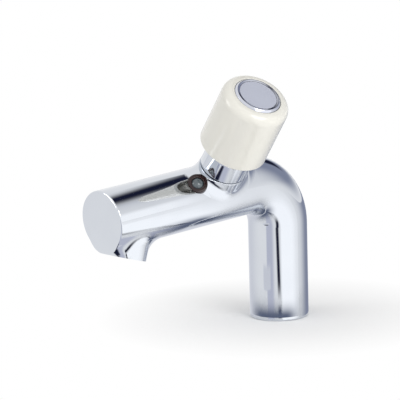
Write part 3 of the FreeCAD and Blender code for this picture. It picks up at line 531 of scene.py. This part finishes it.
def floor_card(name, left, right, near, far, material, fades=(0, 0, 0, 0), twist=0.0, layer=1):
    """Card just over the floor that the column mirrors upright: from left to right go the bearings of
    the mirrored rays, in degrees, and from near to far the distance from the column's axis, in
    metres. A ray starts on the column at half its bearing, so at a distance it is seen at the bearing
    less the arc sine of radius * sin(half the bearing) / distance. Farther out it falls by the twist,
    which is reached at 0.3 m. Cards lie in layers 0.3 mm apart."""
    low, high = math.radians(left), math.radians(right)

    def place(u, v):
        away = near * (far / near) ** v
        ray = low + u * (high - low)
        turn = ray - np.arcsin(np.clip(COLUMN_RADIUS * np.sin(ray / 2) / away, -1, 1))
        turn -= math.radians(twist) * np.clip((away - TWIST_START) / TWIST_LENGTH, 0, 1)
        return bearing(turn) * away[..., None] + np.array([0, 0, LAYER_GAP * layer])
    return card(name, 40, 40, place, material, fades)


def curtain(name, start, end, height, material, fades):
    """Upright card between two floor points, each a bearing in degrees and a distance in metres."""
    first, last = (bearing(math.radians(turn)) * away for turn, away in (start, end))

    def place(u, v):
        foot = first + u[..., None] * (last - first)
        return foot + (v * height)[..., None] * np.array([0, 0, 1.0])
    return card(name, 20, 40, place, material, fades)


def sky_card(name, left, right, bottom, top, material, fades=(0, 0, 0, 0), distance=1.6):
    """Card on a ball round the tap: the bearing goes from left to right and the height angle from
    bottom to top, all in degrees."""
    low, high = math.radians(left), math.radians(right)
    under, over = math.radians(bottom), math.radians(top)

    def place(u, v):
        rise = under + v * (over - under)
        return distance * (np.cos(rise)[..., None] * bearing(low + u * (high - low))
                           + np.sin(rise)[..., None] * np.array([0, 0, 1.0])) + TAP_MIDDLE
    return card(name, 30, 40, place, material, fades)


COLUMN_RADIUS = 0.0162
TWIST_START, TWIST_LENGTH = 0.07, 0.23
LAYER_GAP = 0.0003
AZIMUTH, ELEVATION, ROLL = np.radians([49.391, 10.484, -1.444])
NAVY = glow("navy_painted_reflection", "#1c2036", 1.0)
PEARL = glow("pearl_painted_reflection", "#e8e9ef", 1.0)
LAVENDER = glow("lavender_painted_reflection", "#d2d4e2", 1.0)
FOOT_SHADE_PAINT = glow("painted_foot_shade", "#6a7288", 1.0)
SLATE = glow("slate_painted_reflection", "#9298ac", 1.0)
WHITE = glow("white_painted_reflection", "#ffffff", 1.34)
SOFT_WHITE = glow("soft_white_painted_reflection", "#ffffff", 1.3)

floor_card("flag_left", -195, -73, 0.018, 1.6, PEARL, (0, 0.6, 0, 0), layer=1)
floor_card("reflector_right", 6.3, 94, 0.018, 1.6, WHITE, (0.08, 0.5, 0, 0), layer=1)
floor_card("flag_right", 83, 195, 0.018, 1.6, SLATE, (0.5, 0.1, 0, 0), layer=2)
floor_card("flag_left_of_camera", -50, -13.5, 0.018, 1.6, LAVENDER, (0.15, 0.4, 0, 0), layer=2)
floor_card("flag_towards_camera", -8, 9, 0.06, 1.6, NAVY, (0.35, 0.35, 0.21, 0), twist=5.0, layer=3)
floor_card("flag_by_foot", -8, 9, 0.018, 0.06, NAVY, (0.35, 0.35, 0, 0.5), layer=4)
# Painted shade: a dark glowing card round the foot, which the chrome mirrors as the tap's contact shadow
floor_card("shade_round_foot", -150, 100, 0.018, 0.07, FOOT_SHADE_PAINT, (0.3, 0.3, 0, 0.85), layer=5)
# Painted shade: a dark glowing card under the outlet, which the neck mirrors as a dark patch
floor_card("painted_shade_under_outlet", -58, -36, 0.098, 0.145, NAVY, (0.25, 0.25, 0.25, 0.25), layer=4)
curtain("screen_before_outlet", (-60, 0.094), (-28, 0.094), 0.017, PEARL, (0.15, 0.15, 0, 0.3))
sky_card("reflector_right_wall", 10, 80, -3, 26, SOFT_WHITE, (0.1, 0.1, 0, 0.5), distance=0.5)
sky_card("flag_behind", 70, 172, -4, 50, SLATE, (0.5, 0.15, 0.32, 0.12))
sky_card("flag_behind_elbow", 136, 164, 14, 38, NAVY, (0.3, 0.3, 0.3, 0.3), distance=1.5)


# The overhead flag's height over the deck in metres, and the cosine and sine of its turn from +X
OVERHEAD_HEIGHT, OVERHEAD_COS, OVERHEAD_SIN = 0.355, 0.813, 0.582


def overhead(u, v):
    """Long level flag across the spout's far side: u goes along it and v across."""
    along, across = 0.20 - 0.42 * u, -0.09 + 0.24 * v
    return np.stack([OVERHEAD_COS * along + OVERHEAD_SIN * across,
                     0.09 - OVERHEAD_SIN * along + OVERHEAD_COS * across,
                     OVERHEAD_HEIGHT + 0 * u], axis=-1)


card("flag_overhead", 30, 30, overhead, NAVY, (0.1, 0.1, 0.31, 0.58))

FLOOR = "#f8f8f8"
FADE_START, FADE_END = 0.015, 0.10


def floor_material():
    """Matt white laminate. It keeps the tap's soft shadow near it, and farther out it fades into
    the white background that the camera and the mirrors see."""
    made, tree, surface = shader("white_laminate_floor", Base_Color=linear(FLOOR), Roughness=0.6)
    surface.inputs["Specular IOR Level"].default_value = 0.0
    place = node(tree, "TexCoord").outputs["Object"]
    away = node(tree, "VectorMath", {"operation": "LENGTH"}, _0=place)
    fade = node(tree, "MapRange", Value=away.outputs["Value"], From_Min=FADE_START, From_Max=FADE_END)
    background = node(tree, "Emission", Color=(1, 1, 1, 1), Strength=1.0)
    path = node(tree, "LightPath")
    seen = node(tree, "Math", {"operation": "MAXIMUM"}, _0=path.outputs["Is Camera Ray"],
                _1=path.outputs["Is Glossy Ray"])
    amount = node(tree, "Math", {"operation": "MULTIPLY"}, _0=fade.outputs["Result"],
                  _1=seen.outputs["Value"])
    mixed = node(tree, "MixShader", _0=amount.outputs["Value"], _1=surface.outputs["BSDF"],
                 _2=background.outputs["Emission"])
    tree.links.new(mixed.outputs["Shader"], tree.nodes["Material Output"].inputs["Surface"])
    return made


staged("floor", np.array([[-3, -3, 0], [3, -3, 0], [3, 3, 0], [-3, 3, 0]], float),
       np.array([[0, 1, 2, 3]]), floor_material(), mirrored_only=False)

world = bpy.data.worlds.new("white_surroundings")
bpy.context.scene.world = world
world.use_nodes = True
world.node_tree.nodes.clear()
path = node(world.node_tree, "LightPath")
seen = node(world.node_tree, "Math", {"operation": "MAXIMUM"}, _0=path.outputs["Is Camera Ray"],
            _1=path.outputs["Is Glossy Ray"])
seen = node(world.node_tree, "Math", {"operation": "MAXIMUM"}, _0=seen.outputs["Value"],
            _1=path.outputs["Is Transmission Ray"])
strength = node(world.node_tree, "MapRange", Value=seen.outputs["Value"], To_Min=0.62, To_Max=1.0)
back = node(world.node_tree, "Background", Color=(1, 1, 1, 1), Strength=strength.outputs["Result"])
node(world.node_tree, "OutputWorld", Surface=back.outputs["Background"])


def lamp(name, place, size, watts):
    """Square soft box that shines from a place in metres towards the tap's middle."""
    data = bpy.data.lights.new(name, "AREA")
    data.size, data.energy = size, watts
    made = bpy.data.objects.new(name, data)
    bpy.context.collection.objects.link(made)
    away = np.array(place, float) - TAP_MIDDLE
    away /= np.linalg.norm(away)
    level = np.cross([0.0, 0.0, 1.0], away)
    level /= np.linalg.norm(level)
    made.matrix_world = Matrix(np.vstack([np.column_stack([level, np.cross(away, level), away, place]),
                                          [0, 0, 0, 1]]).tolist())
    return made


lamp("soft_box_right", (1.3, -0.1, 0.6), 0.8, 9.0)
lamp("soft_box_left", (-0.6, -1.2, 0.7), 0.6, 3.5)

# Camera. Azimuth, elevation and roll, which are above, the scale in pixels per mm at the origin and
# the shift across and up in mm were fitted to the photograph. The distance in mm was chosen.
DISTANCE, SCALE, ACROSS, UP_BY = 1500.0, 1.832, -43.306, 62.669
SENSOR = 36.0
PICTURE_WIDTH = 400
backward = np.array([math.sin(AZIMUTH) * math.cos(ELEVATION), -math.cos(AZIMUTH) * math.cos(ELEVATION),
                     math.sin(ELEVATION)])
level = np.array([math.cos(AZIMUTH), math.sin(AZIMUTH), 0.0])
rising = np.cross(backward, level)
right = math.cos(ROLL) * level + math.sin(ROLL) * rising
above = -math.sin(ROLL) * level + math.cos(ROLL) * rising
place = (ACROSS * right + UP_BY * above + DISTANCE * backward) * METRES
lens = bpy.data.cameras.new("camera")
lens.sensor_width = SENSOR
lens.lens = SCALE * DISTANCE * SENSOR / PICTURE_WIDTH
camera = bpy.data.objects.new("camera", lens)
bpy.context.collection.objects.link(camera)
camera.matrix_world = Matrix(np.vstack([np.column_stack([right, above, backward, place]),
                                        [0, 0, 0, 1]]).tolist())
bpy.context.scene.camera = camera
bpy.context.scene.view_settings.view_transform = "Standard"
